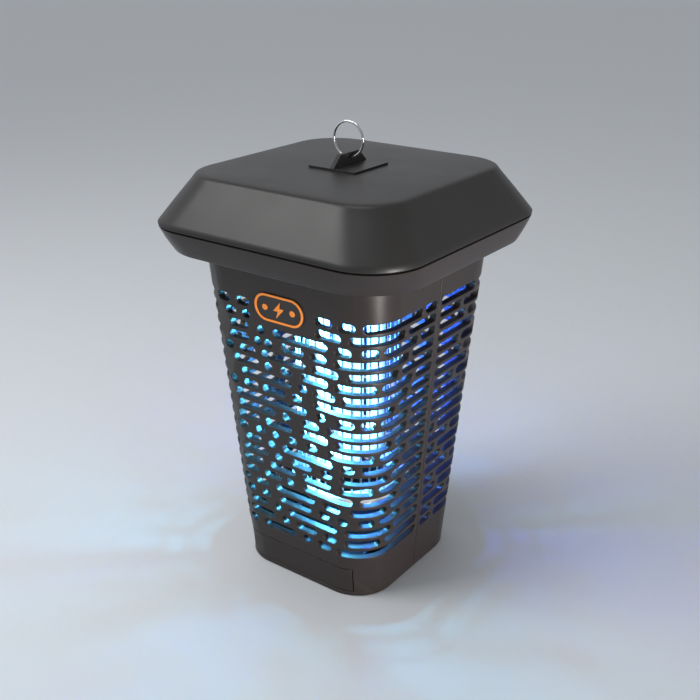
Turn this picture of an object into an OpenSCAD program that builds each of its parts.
// Electric bug zapper lantern: roof, collar, two slotted half shells, catch drawer and a caged lamp.
// Millimetres. Z is up, the drawer and the plaque face -Y, and the base stands on z = 0.

/* [Body] */
// Height of the slotted body
body_h = 277; // [215:1:340]
// Width across the flats at the top of the body
body_w_top = 175; // [145:1:185]
// Width across the flats at the base
body_w_base = 136; // [124:1:164]
// Corner radius of the body
body_r = 32.5; // [26:0.5:38]
// Thickness of the grille wall
wall = 6; // [4.5:0.5:7.5]
// Gap between the two half shells at the seam
seam_gap = 0.4; // [0.3:0.1:0.8]

/* [Slots] */
// Height of one slot
slot_h = 7; // [5:0.5:8]
// Distance from one row of slots to the next
row_pitch = 10; // [9:0.5:14]
// Most rows of slots there can be
rows_max = 21; // [8:1:21]
// Plain band from the top of the body to the middle of the first row
top_band = 35; // [32:1:60]
// Least height left plain over the drawer
drawer_band = 12; // [10:1:30]
// Least width of the bridge between two slots of a row
bridge = 4; // [3:0.5:8]

/* [Drawer] */
// Height of the drawer front
drawer_h = 22; // [17:1:28]
// Thickness of the base and of the lip under the drawer front
base_t = 4; // [3:0.5:6]
// Half the width of the drawer front
drawer_half_w = 52; // [49:0.5:56]
// Thickness of the drawer front
drawer_front_t = 3.5; // [2.5:0.5:5]
// Gap round the drawer front
drawer_gap = 0.5; // [0.4:0.1:1]
// Gap between the drawer and what it slides on
slide_gap = 0.3; // [0.3:0.05:0.6]
// Half the outer width of the drawer box
tray_half_w = 45; // [38:0.5:46]
// Thickness of the drawer box walls and floor
tray_wall = 2; // [1.5:0.5:3]
// Gap left behind the drawer box
tray_rear_gap = 6; // [3:0.5:12]

/* [Collar] */
// Height of the collar under the roof
collar_h = 18; // [15:1:24]
// Width of the collar at its lower edge
collar_low_w = 220; // [210:1:224]
// Corner radius at the lower edge of the collar
collar_low_r = 50; // [44:1:54]
// Wall of the collar and thickness of its floor
collar_wall = 3; // [2.5:0.5:4]
// Radius of the round opening in the collar floor
collar_hole_r = 54; // [53:0.5:58]
// Thickness of the seal between collar and roof
seal_t = 1; // [0.8:0.1:2]
// How far the seal is set in from the rim
seal_in = 3; // [2:0.5:5]
// Width of the seal
seal_w = 4; // [3:0.5:6]

/* [Roof] */
// Width of the roof at its rim
roof_w = 230; // [226:1:280]
// Corner radius at the rim
roof_r = 42; // [38:1:60]
// Height of the roof over its rim
roof_h = 38; // [34:1:60]
// Width of the flat top
roof_top_w = 181; // [160:1:190]
// Corner radius of the flat top
roof_top_r = 34; // [28:1:44]
// Wall of the roof
roof_wall = 3; // [2.5:0.5:4]
// Rounding of the edge round the flat top
roof_edge = 3; // [1:0.5:6]

/* [Hanger] */
// Side of the square hanger plate
hanger_plate = 43; // [36:1:50]
// Thickness of the hanger plate
hanger_plate_t = 1.5; // [1.2:0.1:3]
// Thickness of the upright fin
fin_t = 3.5; // [3:0.5:6]
// Height of the fin over its plate
fin_h = 9; // [8:0.5:14]
// Length of the fin along its top
fin_top = 23; // [16:1:30]
// Radius of the hole in the fin
eye_r = 2; // [1.6:0.1:2.4]
// Material left over the hole
eye_top = 2; // [1.5:0.5:4]
// Radius of the hanging ring to the middle of its wire
ring_r = 13.5; // [12:0.5:20]
// Radius of the ring wire
ring_wire_r = 0.9; // [0.7:0.1:1.2]

/* [Lamp and cage] */
// Radius of the circle of cage wires
cage_r = 42.5; // [41:0.5:44]
// Radius of one cage wire
wire_r = 0.8; // [0.6:0.1:1]
// Places for wires and rods round the cage, a multiple of four
cage_places = 36; // [28:4:40]
// Height of the underside of the lower insulating ring
cage_low = 65; // [55:1:80]
// Thickness of the insulating rings
insulator_t = 6; // [5:0.5:8]
// Half the width of the insulating rings
insulator_half = 6; // [5:0.5:7]
// Radius of the insulating rods
rod_r = 1.6; // [1.5:0.1:2.5]
// Thickness of the bus rings
bus_t = 1.5; // [1:0.5:2]
// Distance of each lamp leg from the lamp's middle lines
leg_off = 17; // [14:0.5:18]
// Radius of a lamp leg
leg_r = 8.5; // [7:0.5:9]
// Clear height between the lamp and the lower insulating ring
lamp_clear = 8; // [4:1:30]
// Radius of the lamp base
lamp_base_r = 34; // [33:0.5:35]
// Height of the lamp base
lamp_base_h = 18; // [14:1:22]
// Radius of the lampholder
holder_r = 30; // [28:0.5:32]
// Height of the lampholder
holder_h = 24; // [20:1:28]

/* [Electronics] */
// Half the width of the chassis plate
chassis_half = 64; // [63:0.5:70]
// Thickness of the chassis plate
chassis_t = 3; // [2:0.5:4]
// Length of the circuit board
board_l = 92; // [80:1:110]
// Width of the circuit board
board_w = 60; // [50:1:70]
// Thickness of the circuit board
board_t = 1.6; // [1.2:0.1:2]
// Height of the board spacers
spacer_h = 6; // [4:0.5:10]
// Radius of the cord passage in the gland
cord_bore_r = 3.3; // [2.5:0.1:3.8]
// Radius of the threaded shank of the gland
gland_r = 5; // [4.8:0.1:6]
// Height of the gland under the top of the body
gland_drop = 16; // [14:1:18]

/* [Screws] */
// Radius of a screw shank
screw_r = 2; // [1.5:0.1:2.2]
// Radius of a screw head
head_r = 3.8; // [3.2:0.1:4]
// Height of a screw head
head_h = 2.4; // [1.6:0.1:2.8]
// Radius of a screw boss
boss_r = 4.6; // [4.2:0.1:5]
// Height of a screw boss
boss_h = 12; // [10:1:14]

/* [Plaque] */
// Length of the plaque
plaque_l = 47; // [36:1:54]
// Height of the plaque
plaque_w = 23; // [16:1:26]
// Thickness of the plaque backing
plaque_t = 0.8; // [0.6:0.1:2]
// Height of the raised emblem over the backing
emblem_t = 0.6; // [0.4:0.1:1.5]
// Width of the emblem's outline
emblem_line = 1.8; // [1.2:0.1:3]
// Depth of the plaque's middle under the top of the body
plaque_drop = 34; // [28:1:40]

/* [Hidden] */
$fn = 48;

// Levels
collar_z = body_h;
seal_z = collar_z + collar_h;
roof_z = seal_z + seal_t;
roof_top = roof_z + roof_h;
plate_top = roof_top + hanger_plate_t;
fin_top_z = plate_top + fin_h;
eye_z = fin_top_z - eye_top - eye_r;
floor_z = collar_z + collar_wall;
chassis_top = floor_z + chassis_t;
holder_z = floor_z - holder_h;
lamp_base_z = holder_z - lamp_base_h;
cage_top = lamp_base_z + 13;
live_bus_z = cage_top + 2;
cage_low_top = cage_low + insulator_t;
return_bus_z = cage_low - 4;
board_z = chassis_top + spacer_h;
board_top = board_z + board_t;

// Body form: width and corner centre at a height
slope = (body_w_top - body_w_base) / 2 / body_h;
tilt = atan(slope);
function half_at(z) = body_w_base / 2 + slope * z;
function centre_at(z) = half_at(z) - body_r;
quarter = body_r * PI / 2;

// Slot rows
row_fit = floor((body_h - top_band - base_t - drawer_h - drawer_band) / row_pitch) + 1;
rows = min(rows_max, row_fit);
function row_z(n) = body_h - top_band - n * row_pitch;
// Slots of the front face from the top row down, as start and end from its middle line
FRONT = [
    [[-63, -49], [-43, -30], [32, 48], [53, 67]],
    [[-55, -44], [-38, -30], [32, 55]],
    [[-51, -33], [-24, -17], [-9, 42], [49, 63]],
    [[-53, -33], [-28, -21], [-18, -10], [-2, 20], [26, 41]],
    [[-60, -50], [-44, -28], [-22, 20], [26, 51]],
    [[-51, -25], [-20, -12], [-4, 7], [15, 41]],
    [[-44, 6], [12, 21], [26, 47]],
    [[-60, -49], [-43, -28], [-24, -1], [5, 15]],
    [[-53, 19], [28, 37], [46, 62]],
    [[-51, -13], [-6, 2], [13, 30]],
    [[-53, -30], [-24, 3], [11, 38]],
    [[-55, -43], [-35, -25], [-18, -11], [-2, 7], [16, 27]],
    [[-47, -30], [-23, -15], [-9, 41], [48, 60]],
    [[-51, -24], [-17, -9], [-1, 20], [28, 40]],
    [[-53, -30], [-23, 3], [10, 38]],
    [[-51, -36], [-30, -12], [-7, 1], [10, 57]],
    [[-58, -47], [-40, -26], [-19, 21], [29, 46]],
    [[-56, -42], [-35, -25], [-16, 17], [24, 35], [42, 52]],
    [[-48, -30], [-22, -15], [-8, 42]],
    [[-57, -23], [-15, -7], [0, 21], [28, 41]],
    [[-57, -42], [-35, -1], [6, 16], [21, 35]]
];
// Side slots from the top row down: the first start, then each bridge, from the middle of the corner
SIDE = [
    [-6, 57], [-16, 35], [-7, 9, 52], [-28, 41], [-17, 28], [-28, 8, 47], [-22, 42],
    [-47, 25], [-6, 8, 43], [-35, 42], [-27, 23], [-34, 8, 42], [-5, 33], [-22, 20],
    [-23, 8, 38], [-5, 32], [-13, 20], [-6, 9, 38], [-17, 26], [-17, 15], [-24]
];

// Placed copies
module four(x, y) {
    for (sx = [-1, 1])
        for (sy = [-1, 1])
            translate([sx * x, sy * y, 0])
                children();
}
module round_square(half, r, t) {
    linear_extrude(height = t) {
        square([2 * half, 2 * (half - r)], center = true);
        square([2 * (half - r), 2 * half], center = true);
        for (sx = [-1, 1])
            for (sy = [-1, 1])
                translate([sx * (half - r), sy * (half - r)])
                    circle(r = r);
    }
}
module layer(z, half, r) {
    translate([0, 0, z])
        round_square(half, r, 0.01);
}
module ring(z, r_in, r_out, t) {
    translate([0, 0, z])
        rotate_extrude()
            translate([r_in, 0])
                square([r_out - r_in, t]);
}
// Round things that meet each other share one radius, so they touch without a step
module rod(r, z0, z1) {
    translate([0, 0, z0])
        cylinder(r = r, h = z1 - z0);
}
// A screw along +Z from its head, which starts at z = 0
module screw(grip, r = screw_r, head = head_r) {
    cylinder(r = head, h = head_h);
    cylinder(r = r, h = head_h + grip);
}

// Forms of the body, the collar and the roof, drawn in by an inset
module body_form(inset, z0, z1) {
    hull() {
        layer(z0, half_at(z0) - inset, body_r - inset);
        layer(z1 - 0.01, half_at(z1) - inset, body_r - inset);
    }
}
module collar_form(inset, z0, z1) {
    k0 = (z0 - collar_z) / collar_h;
    k1 = (z1 - collar_z) / collar_h;
    hull() {
        layer(z0, collar_low_w / 2 + (roof_w - collar_low_w) / 2 * k0 - inset,
            collar_low_r + (roof_r - collar_low_r) * k0 - inset);
        layer(z1 - 0.01, collar_low_w / 2 + (roof_w - collar_low_w) / 2 * k1 - inset,
            collar_low_r + (roof_r - collar_low_r) * k1 - inset);
    }
}
module roof_form(inset, z0) {
    top = roof_top - inset;
    hull() {
        layer(z0, roof_w / 2 - inset, roof_r - inset);
        layer(top - roof_edge, roof_top_w / 2 + roof_edge * 0.6 - inset, roof_top_r + 1 - inset);
        layer(top - roof_edge * 0.3, roof_top_w / 2 - roof_edge * 0.3 - inset, roof_top_r - inset);
        layer(top - 0.01, roof_top_w / 2 - roof_edge - inset, roof_top_r - 1 - inset);
    }
}

// Slot cutters, from a to b. An end is round where asked, and flattens on a very short slot.
function end_pts(c, side, e) = e > 0 ?
    [for (k = [-3:3]) [c + side * e * (cos(30 * k) - 1), side * slot_h / 2 * sin(30 * k)]] :
    [[c, -side * slot_h / 2], [c, side * slot_h / 2]];
function end_len(a, b, is_round) = is_round ? min(slot_h / 2, 0.45 * (b - a)) : 0;
function slot_pts(a, b, ra, rb) =
    concat(end_pts(b, 1, end_len(a, b, rb)), end_pts(a, -1, end_len(a, b, ra)));
// How far in from a face the wall reaches, out to a distance x from the middle of that face
function wall_deep(x, z) =
    body_r - sqrt((body_r - wall) ^ 2 - max(0, x - centre_at(z)) ^ 2) + 1.5;
module cut_front(z, a, b, ra = true, rb = true) {
    deep = wall_deep(max(abs(a), abs(b)), z);
    translate([0, deep - half_at(z), z])
        rotate([90, 0, 0])
            linear_extrude(height = deep + 3)
                polygon(slot_pts(a, b, ra, rb));
}
module cut_right(z, a, b, ra = true, rb = true) {
    deep = wall_deep(max(abs(a), abs(b)), z);
    translate([half_at(z) - deep, 0, z])
        rotate([90, 0, 90])
            linear_extrude(height = deep + 3)
                polygon(slot_pts(a, b, ra, rb));
}
// Where a distance t along the wall from the middle of the front comes to, across and along the body
function turn(t, c) = min(90, max(0, (t - c) / body_r * 180 / PI));
function across(t, c) = t < c ? t : c + body_r * sin(turn(t, c));
function along(t, c) = t > c + quarter ? t - 2 * c - quarter : -c - body_r * cos(turn(t, c));
// One slot of the right half, cut from the front up to the middle of the corner and then from the side
module wall_slot(z, a, b) {
    c = centre_at(z);
    m = c + quarter / 2;
    if (b <= m)
        cut_front(z, across(a, c), across(b, c));
    else if (a >= m)
        cut_right(z, along(a, c), along(b, c));
    else {
        cut_front(z, across(a, c), across(m, c), true, false);
        cut_right(z, along(m, c), along(b, c), false, true);
    }
}
module side_slots(list, z) {
    c = centre_at(z);
    m = c + quarter / 2;
    last = 2 * c + quarter - 3;
    for (k = [0:len(list) - 1]) {
        a = m + list[k] + (k == 0 ? 0 : bridge / 2);
        b = k + 1 < len(list) ? m + list[k + 1] - bridge / 2 : last;
        if (min(b, last) - a >= slot_h)
            wall_slot(z, a, min(b, last));
    }
}
module front_slot(z, a, b) {
    c = centre_at(z);
    if (a >= 0)
        wall_slot(z, a, b);
    else if (b <= 0)
        mirror([1, 0, 0])
            wall_slot(z, -b, -a);
    else
        cut_front(z, across(a, c), across(b, c));
}
module slot_row(n) {
    z = row_z(n);
    m = centre_at(z) + quarter / 2;
    other = SIDE[(n + 10) % 21];
    left = [for (k = [0:len(other) - 1]) k == 0 ? -8 - 3 * (n % 2) : max(10, other[k])];
    side_slots(SIDE[n], z);
    mirror([1, 0, 0])
        side_slots(left, z);
    for (s = FRONT[n]) {
        a = max(s[0], bridge - m - left[0]);
        b = min(s[1], m + SIDE[n][0] - bridge);
        if (b - a >= slot_h)
            front_slot(z, a, b);
    }
}

// Screw places
shell_at = centre_at(body_h) + (body_r - wall - boss_r + 1) * sqrt(0.5);
roof_at = collar_low_w / 2 - collar_low_r + 27;
base_boss_x = half_at(0) - wall - head_r - 0.3;
base_web = half_at(base_t + boss_h) - wall + 0.5 - base_boss_x;
base_boss_y = 22;
chassis_at = chassis_half - 9;
board_x = board_l / 2 - 5;
board_y = board_w / 2 - 5;
hanger_at = hanger_plate / 2 - 6;
seam_low = base_t + boss_r + 4;
seam_high = body_h - top_band + slot_h / 2 + boss_r + 4;
seam_boss = 9;
seam_side = 0.2 + slope * head_r;
module seam_places() {
    for (z = [seam_low, seam_high])
        for (sx = [-1, 1])
            translate([sx * (half_at(z) - wall - head_r - seam_side), 0, z])
                children();
}

// One half of the body, the -Y half, with its inner bosses
module half_shell() {
    difference() {
        union() {
            difference() {
                intersection() {
                    body_form(0, 0, body_h);
                    translate([-200, -200 - seam_gap / 2, 0])
                        cube([400, 200, body_h]);
                }
                body_form(wall, -1, body_h + 1);
            }
            for (sx = [-1, 1]) {
                translate([sx * shell_at, -shell_at, body_h - boss_h])
                    cylinder(r = boss_r, h = boss_h);
                translate([sx * base_boss_x, -base_boss_y, base_t]) {
                    cylinder(r = boss_r, h = boss_h);
                    translate([-base_web, -boss_r / 2, 0])
                        cube([2 * base_web, boss_r, boss_h]);
                }
            }
            seam_places()
                translate([0, -seam_gap / 2, 0]) {
                    rotate([90, 0, 0])
                        cylinder(r = boss_r, h = seam_boss);
                    translate([0, -seam_boss / 2, 0])
                        cube([2 * (head_r + 1.2), seam_boss, boss_r], center = true);
                }
        }
        for (sx = [-1, 1]) {
            translate([sx * shell_at, -shell_at, body_h - boss_h - 1])
                cylinder(r = screw_r, h = boss_h + 2);
            translate([sx * base_boss_x, -base_boss_y, base_t - 1])
                cylinder(r = screw_r, h = boss_h);
        }
        seam_places()
            rotate([90, 0, 0])
                cylinder(r = screw_r, h = 40, center = true);
        for (n = [0:rows - 1])
            slot_row(n);
    }
}
module front_grille() {
    color("#3a3634")
        difference() {
            half_shell();
            translate([-drawer_half_w - drawer_gap, -100, base_t])
                cube([2 * (drawer_half_w + drawer_gap), 100 - centre_at(0) - body_r * 0.63,
                    drawer_h + drawer_gap]);
        }
}
gland_z = body_h - gland_drop;
gland_y = half_at(gland_z) + 1.5;
module rear_grille() {
    color("#403b39")
        difference() {
            union() {
                rotate([0, 0, 180])
                    half_shell();
                translate([0, gland_y, gland_z])
                    rotate([90, 0, 0])
                        cylinder(r = gland_r + 4, h = 4);
            }
            translate([0, gland_y + 1, gland_z])
                rotate([90, 0, 0])
                    cylinder(r = gland_r, h = wall + 10);
        }
}

module roof_cap() {
    color("#2b2b2d")
        difference() {
            union() {
                difference() {
                    roof_form(0, roof_z);
                    roof_form(roof_wall, roof_z - 1);
                }
                four(roof_at, roof_at)
                    rod(boss_r, floor_z, roof_z + 1);
                intersection() {
                    roof_form(roof_wall / 2, roof_z);
                    four(roof_at, roof_at)
                        rod(boss_r, roof_z, roof_top);
                }
            }
            four(roof_at, roof_at)
                rod(screw_r, floor_z - 1, floor_z + 18);
            four(hanger_at, hanger_at)
                rod(1.5, roof_top - 10, roof_top + 1);
        }
}
module roof_seal() {
    color("#111111")
        difference() {
            layer_ring(seal_in, seal_t);
            translate([0, 0, -0.5])
                layer_ring(seal_in + seal_w, seal_t + 1);
        }
}
module layer_ring(inset, t) {
    translate([0, 0, seal_z])
        round_square(roof_w / 2 - inset, roof_r - inset, t);
}
module collar() {
    color("#3a3634")
        difference() {
            collar_form(0, collar_z, seal_z);
            collar_form(collar_wall, floor_z, seal_z + 1);
            rod(collar_hole_r, collar_z - 1, floor_z + 1);
            four(roof_at, roof_at)
                rod(screw_r, collar_z - 1, floor_z + 1);
            four(shell_at, shell_at)
                rod(screw_r, collar_z - 1, floor_z + 1);
            four(chassis_at, chassis_at)
                rod(screw_r, collar_z - 1, floor_z + 1);
        }
}

// The base closes the bottom of both half shells and guides the drawer
rail_x = tray_half_w + slide_gap + 0.2;
module base_plate() {
    color("#322e2c")
        difference() {
            union() {
                body_form(wall, 0, base_t);
                for (sx = [-1, 1])
                    translate([sx * (rail_x + 1) - 1, -48, base_t - 1])
                        cube([2, 48 + half_at(0) - wall - tray_rear_gap, 7]);
            }
            four(base_boss_x, base_boss_y)
                rod(screw_r, -1, base_t + 1);
            four(base_boss_x, base_boss_y)
                rod(head_r, -1, head_h);
        }
}
module catch_tray() {
    front_y = -half_at(0) + drawer_front_t;
    rear_y = half_at(0) - wall - tray_rear_gap;
    tray_z = base_t + slide_gap;
    tray_top = base_t + drawer_h - 2;
    color("#38332f") {
        difference() {
            intersection() {
                body_form(0, 0, body_h);
                translate([-drawer_half_w, -100, base_t + drawer_gap])
                    cube([2 * drawer_half_w, 100 - centre_at(0), drawer_h - drawer_gap]);
            }
            body_form(drawer_front_t, -1, body_h + 1);
        }
        difference() {
            translate([-tray_half_w, front_y - 1, tray_z])
                cube([2 * tray_half_w, rear_y - front_y + 1, tray_top - tray_z]);
            translate([-tray_half_w + tray_wall, front_y - 10, tray_z + tray_wall])
                cube([2 * (tray_half_w - tray_wall), rear_y - front_y + 10 - tray_wall, drawer_h]);
            difference() {
                translate([-100, -100, 0])
                    cube([200, 100 - centre_at(0), 60]);
                body_form(drawer_front_t * 0.5, -1, body_h);
            }
        }
    }
}

// Hanger on the roof
module hanger_bracket() {
    color("#2b2b2d")
        difference() {
            union() {
                translate([-hanger_plate / 2, -hanger_plate / 2, roof_top])
                    cube([hanger_plate, hanger_plate, hanger_plate_t]);
                translate([-fin_t / 2, 0, plate_top - 0.5])
                    rotate([90, 0, 90])
                        linear_extrude(height = fin_t)
                            polygon([
                                [-hanger_plate / 2, 0], [hanger_plate / 2, 0],
                                [fin_top / 2, fin_h + 0.5], [-fin_top / 2, fin_h + 0.5]
                            ]);
            }
            translate([0, 0, eye_z])
                rotate([0, 90, 0])
                    cylinder(r = eye_r, h = 20, center = true);
            four(hanger_at, hanger_at)
                rod(1.5, roof_top - 1, plate_top - 0.4);
        }
}
module hang_ring() {
    color("silver")
        translate([0, 0, eye_z + ring_r])
            rotate([90, 0, 0])
                rotate_extrude()
                    translate([ring_r, 0])
                        circle(r = ring_wire_r);
}
module hanger_screws() {
    color("gray")
        four(hanger_at, hanger_at)
            translate([0, 0, roof_top - roof_wall - 1.6]) {
                cylinder(r = 3, h = 1.6);
                cylinder(r = 1.5, h = 1.6 + roof_wall + hanger_plate_t - 0.4);
            }
}

// Plaque on the sloping front, built flat and then leaned
module on_front(drop) {
    z = body_h - drop;
    translate([0, -half_at(z), z])
        rotate([90 + tilt, 0, 0])
            children();
}
module pill(l, w, t) {
    linear_extrude(height = t)
        hull()
            for (s = [-1, 1])
                translate([s * (l - w) / 2, 0])
                    circle(d = w);
}
module plaque() {
    color("#2e2a28")
        on_front(plaque_drop)
            pill(plaque_l, plaque_w, plaque_t);
}
module emblem() {
    inner = 2 * emblem_line + 1;
    color("darkorange")
        on_front(plaque_drop)
            translate([0, 0, plaque_t]) {
                difference() {
                    pill(plaque_l - 1, plaque_w - 1, emblem_t);
                    translate([0, 0, -1])
                        pill(plaque_l - inner, plaque_w - inner, emblem_t + 2);
                }
                linear_extrude(height = emblem_t)
                    polygon([[2.6, 7], [-5, -1.2], [-0.6, -1.2], [-2.6, -7], [5, 1.2], [0.6, 1.2]]);
                for (sx = [-1, 1])
                    translate([sx * 13, 0, 0])
                        cylinder(r = 2.4, h = emblem_t);
            }
}

// Plate over the opening in the collar floor, with its holes
module lead_places() {
    for (a = [0, 180])
        rotate([0, 0, a + 2.5 * 360 / cage_places])
            translate([cage_r, 0, 0])
                children();
}
module chassis_plate() {
    color("#8d9196")
        difference() {
            translate([0, 0, floor_z])
                round_square(chassis_half, 18, chassis_t);
            four(chassis_at, chassis_at)
                rod(screw_r, floor_z - 1, chassis_top + 1);
            lead_places()
                rod(1.2, floor_z - 1, chassis_top + 1);
            translate([0, 50, 0])
                rod(gland_r, floor_z - 1, chassis_top + 1);
        }
}

// Lamp: holder, base and two U-shaped tubes side by side
module lampholder() {
    color("ivory")
        difference() {
            rod(holder_r, holder_z, floor_z);
            rod(holder_r - 5, holder_z - 1, holder_z + 10);
        }
}
module lamp_base() {
    color("white") {
        rod(lamp_base_r, lamp_base_z, holder_z);
        rod(holder_r - 5, holder_z - 0.5, holder_z + 10);
    }
}
bend_z = cage_low_top + lamp_clear + leg_off + leg_r;
module lamp_tubes() {
    color("aqua")
        for (sy = [-1, 1])
            translate([0, sy * leg_off, 0]) {
                for (sx = [-1, 1])
                    translate([sx * leg_off, 0, 0])
                        rod(leg_r, bend_z, lamp_base_z);
                translate([0, 0, bend_z])
                    rotate([-90, 0, 0])
                        rotate_extrude(angle = 180)
                            translate([leg_off, 0])
                                circle(r = leg_r);
            }
}

// Cage: every place round the circle holds a live wire, a return wire or, at the quarters, a rod
is_rod = [for (k = [0:cage_places - 1]) k % (cage_places / 4) == 0];
module cage_copies(kind) {
    for (k = [0:cage_places - 1])
        if (kind == 2 ? is_rod[k] : !is_rod[k] && k % 2 == kind)
            rotate([0, 0, k * 360 / cage_places])
                translate([cage_r, 0, 0])
                    children();
}
module live_wires() {
    color("gainsboro")
        cage_copies(0)
            rod(wire_r, cage_low + 3, live_bus_z + bus_t);
}
module return_wires() {
    color("gainsboro")
        cage_copies(1)
            rod(wire_r, return_bus_z, cage_top - 3);
}
module cage_rods() {
    color("white")
        cage_copies(2)
            rod(rod_r, cage_low, floor_z);
}
module upper_insulator() {
    color("white")
        difference() {
            ring(cage_top - insulator_t, cage_r - insulator_half, cage_r + insulator_half, insulator_t);
            cage_copies(0)
                rod(wire_r, cage_low + 3, live_bus_z + bus_t);
            cage_copies(1)
                rod(wire_r, return_bus_z, cage_top - 3);
            cage_copies(2)
                rod(rod_r, cage_low, floor_z);
        }
}
module lower_insulator() {
    color("white")
        difference() {
            ring(cage_low, cage_r - insulator_half, cage_r + insulator_half, insulator_t);
            cage_copies(0)
                rod(wire_r, cage_low + 3, live_bus_z + bus_t);
            cage_copies(1)
                rod(wire_r, return_bus_z - 1, cage_top - 3);
            cage_copies(2)
                rod(rod_r, cage_low - 1, floor_z);
        }
}
module live_bus() {
    color("silver")
        difference() {
            ring(live_bus_z, cage_r - 2, cage_r + 2, bus_t);
            cage_copies(0)
                rod(wire_r, live_bus_z - 1, live_bus_z + bus_t + 1);
            cage_copies(2)
                rod(rod_r + 0.4, live_bus_z - 1, live_bus_z + bus_t + 1);
        }
}
module return_bus() {
    color("silver")
        difference() {
            ring(return_bus_z, cage_r - 2, cage_r + 2, bus_t);
            cage_copies(1)
                rod(wire_r, return_bus_z - 1, return_bus_z + bus_t + 1);
        }
}

// Electronics on top of the chassis plate
module circuit_board() {
    color("seagreen")
        difference() {
            translate([-board_l / 2, -board_w / 2, board_z])
                cube([board_l, board_w, board_t]);
            four(board_x, board_y)
                rod(1.5, board_z - 1, board_top + 1);
        }
}
module board_spacers() {
    color("white")
        difference() {
            four(board_x, board_y)
                rod(3.5, chassis_top, board_z);
            four(board_x, board_y)
                rod(1.5, chassis_top - 1, board_z + 1);
        }
}
module board_screws() {
    color("gray")
        four(board_x, board_y)
            translate([0, 0, board_top + 1.6])
                mirror([0, 0, 1]) {
                    cylinder(r = 3, h = 1.6);
                    cylinder(r = 1.5, h = 1.6 + board_t + spacer_h);
                }
}
module transformer() {
    color("goldenrod")
        translate([-30, -14, board_top]) {
            cube([32, 28, 22]);
            translate([-2, 4, 3])
                cube([36, 20, 16]);
        }
}
module capacitors() {
    color("navy")
        for (k = [0:2])
            translate([14 + 11 * k, -14, board_top])
                cylinder(r = 5, h = 18);
}
module terminal_block() {
    color("whitesmoke")
        translate([0, board_w / 2 + 2, chassis_top])
            difference() {
                translate([-34, 2, 0])
                    cube([24, 12, 12]);
                for (k = [-1, 0, 1])
                    translate([-22 + 7 * k, 8, 7])
                        cylinder(r = 2, h = 10);
            }
}
module leads() {
    color("red")
        lead_places()
            rod(1.2, live_bus_z + bus_t, board_z);
}

// Cord gland through the rear shell, with its nut inside
nut_r = gland_r + 3.5;
module cord_gland() {
    color("#222222")
        translate([0, gland_y, gland_z])
            rotate([-90, 0, 0])
                difference() {
                    union() {
                        translate([0, 0, -wall - 7])
                            cylinder(r = gland_r, h = wall + 8);
                        cylinder(r = gland_r + 3, h = 3);
                        translate([0, 0, 2])
                            cylinder(r1 = gland_r + 1.6, r2 = gland_r - 0.2, h = 9);
                    }
                    translate([0, 0, -wall - 8])
                        cylinder(r = cord_bore_r, h = wall + 30);
                }
}
module gland_nut() {
    color("#222222")
        translate([0, half_at(gland_z) - wall - slope * nut_r, gland_z])
            rotate([90, 0, 0])
                difference() {
                    cylinder(r = nut_r, h = 3.5, $fn = 6);
                    translate([0, 0, -1])
                        cylinder(r = gland_r, h = 6);
                }
}

// Fasteners
module roof_screws() {
    color("gray")
        four(roof_at, roof_at)
            translate([0, 0, collar_z - head_h])
                screw(collar_wall + 14);
}
module shell_screws() {
    color("gray")
        four(shell_at, shell_at)
            translate([0, 0, floor_z + head_h])
                mirror([0, 0, 1])
                    screw(collar_wall + boss_h - 2);
}
module seam_screws() {
    color("gray")
        seam_places()
            translate([0, seam_boss + seam_gap / 2 + head_h, 0])
                rotate([90, 0, 0])
                    screw(2 * seam_boss - 2);
}
module base_screws() {
    color("gray")
        four(base_boss_x, base_boss_y)
            screw(base_t - head_h + boss_h - 2);
}
module chassis_screws() {
    color("gray")
        four(chassis_at, chassis_at)
            translate([0, 0, chassis_top + head_h])
                mirror([0, 0, 1])
                    screw(chassis_t + collar_wall);
}

roof_cap();
roof_seal();
collar();
front_grille();
rear_grille();
base_plate();
catch_tray();
hanger_bracket();
hang_ring();
hanger_screws();
plaque();
emblem();
chassis_plate();
lampholder();
lamp_base();
lamp_tubes();
upper_insulator();
lower_insulator();
cage_rods();
live_wires();
return_wires();
live_bus();
return_bus();
circuit_board();
board_spacers();
transformer();
capacitors();
terminal_block();
leads();
cord_gland();
gland_nut();
roof_screws();
shell_screws();
seam_screws();
base_screws();
chassis_screws();
board_screws();
